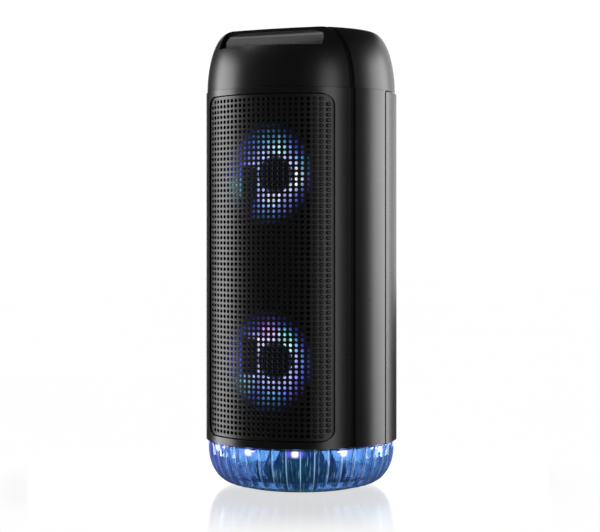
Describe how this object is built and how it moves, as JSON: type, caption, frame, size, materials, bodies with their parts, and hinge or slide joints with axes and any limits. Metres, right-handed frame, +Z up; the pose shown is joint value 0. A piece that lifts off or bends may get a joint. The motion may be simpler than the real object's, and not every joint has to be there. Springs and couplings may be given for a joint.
{
  "type": "party speaker",
  "caption": "Tall round battery speaker with a curved grille over lit drivers, a clear fluted lit base, and a domed cap with a control deck and a hand pocket.",
  "frame": {"origin": "centre of the foot ring's underside, on the body's axis", "axes": "+Z up along the body, -Y out of the grille, +X to the right as one faces the grille"},
  "size_m": [0.1906, 0.1905, 0.4494],
  "materials": {
    "gloss_black": "moulded black, polished",
    "satin_black": "moulded black, satin",
    "matte_black": "moulded black, matt",
    "clear_blue": "clear fluted plastic lit blue from inside",
    "soft_black": "soft black rubber",
    "silver": "silvered plastic",
    "socket_metal": "plated steel",
    "steel": "zinc plated",
    "board_green": "green circuit board",
    "paper_cone": "coated paper cone",
    "diffuser": "milky diffuser",
    "cell_blue": "blue shrink sleeve",
    "cloth_tan": "resin-dipped cloth"
  },
  "bodies": {
    "enclosure": {"front_shell": "gloss_black", "rear_shell": "gloss_black", "top_cap": "gloss_black", "grille": "satin_black", "side_trim_left": "satin_black", "side_trim_right": "satin_black", "cap_trim": "satin_black", "control_deck": "satin_black", "handle_tub": "satin_black", "jack_panel": "satin_black", "aux_socket": "satin_black", "switch_housing": "satin_black", "bass_port": "satin_black", "upper_driver_frame": "satin_black", "lower_driver_frame": "satin_black", "floor_plate": "matte_black", "chamber_lid": "matte_black", "baffle": "matte_black", "battery_cradle": "matte_black", "base_lens": "clear_blue", "foot_ring": "soft_black", "grip_bar": "soft_black", "upper_gasket": "soft_black", "lower_gasket": "soft_black", "upper_surround": "soft_black", "lower_surround": "soft_black", "reflector_dish": "silver", "mic_socket": "socket_metal", "usb_socket": "socket_metal", "charge_socket": "socket_metal", "upper_magnet": "steel", "lower_magnet": "steel", "shell_screw_1": "steel", "shell_screw_2": "steel", "shell_screw_3": "steel", "shell_screw_4": "steel", "main_board": "board_green", "button_board": "board_green", "light_board": "board_green", "upper_light_ring": "diffuser", "lower_light_ring": "diffuser", "battery_pack": "cell_blue", "upper_spider": "cloth_tan", "lower_spider": "cloth_tan"},
    "upper_cone_unit": {"upper_cone": "paper_cone", "upper_dust_cap": "gloss_black"},
    "lower_cone_unit": {"lower_cone": "paper_cone", "lower_dust_cap": "gloss_black"},
    "rocker": {"power_rocker": "gloss_black"},
    "light_button": {"button_light": "soft_black"},
    "previous_button": {"button_previous": "soft_black"},
    "play_button": {"button_play": "soft_black"},
    "next_button": {"button_next": "soft_black"},
    "power_button": {"button_power": "soft_black"}
  },
  "joints": [
    {"name": "upper_cone_stroke", "type": "slide", "parent": "enclosure", "child": "upper_cone_unit", "axis": [0, -1, 0], "range_m": [-0.003, 0.003], "stiffness_N_per_m": 2000, "deforming": ["upper_surround", "upper_spider"]},
    {"name": "lower_cone_stroke", "type": "slide", "parent": "enclosure", "child": "lower_cone_unit", "axis": [0, -1, 0], "range_m": [-0.003, 0.003], "stiffness_N_per_m": 2000, "deforming": ["lower_surround", "lower_spider"]},
    {"name": "light_press", "type": "slide", "parent": "enclosure", "child": "light_button", "axis": [0, 0, -1], "range_m": [0, 0.0008], "stiffness_N_per_m": 900, "springref_m": -0.0003},
    {"name": "previous_press", "type": "slide", "parent": "enclosure", "child": "previous_button", "axis": [0, 0, -1], "range_m": [0, 0.0008], "stiffness_N_per_m": 900, "springref_m": -0.0003},
    {"name": "play_press", "type": "slide", "parent": "enclosure", "child": "play_button", "axis": [0, 0, -1], "range_m": [0, 0.0008], "stiffness_N_per_m": 900, "springref_m": -0.0003},
    {"name": "next_press", "type": "slide", "parent": "enclosure", "child": "next_button", "axis": [0, 0, -1], "range_m": [0, 0.0008], "stiffness_N_per_m": 900, "springref_m": -0.0003},
    {"name": "power_press", "type": "slide", "parent": "enclosure", "child": "power_button", "axis": [0, 0, -1], "range_m": [0, 0.0008], "stiffness_N_per_m": 900, "springref_m": -0.0003},
    {"name": "rocker_tilt", "type": "hinge", "parent": "enclosure", "child": "rocker", "pos_m": [0.01, 0.082, 0.121], "axis": [1, 0, 0], "range_deg": [0, 14]}
  ]
}
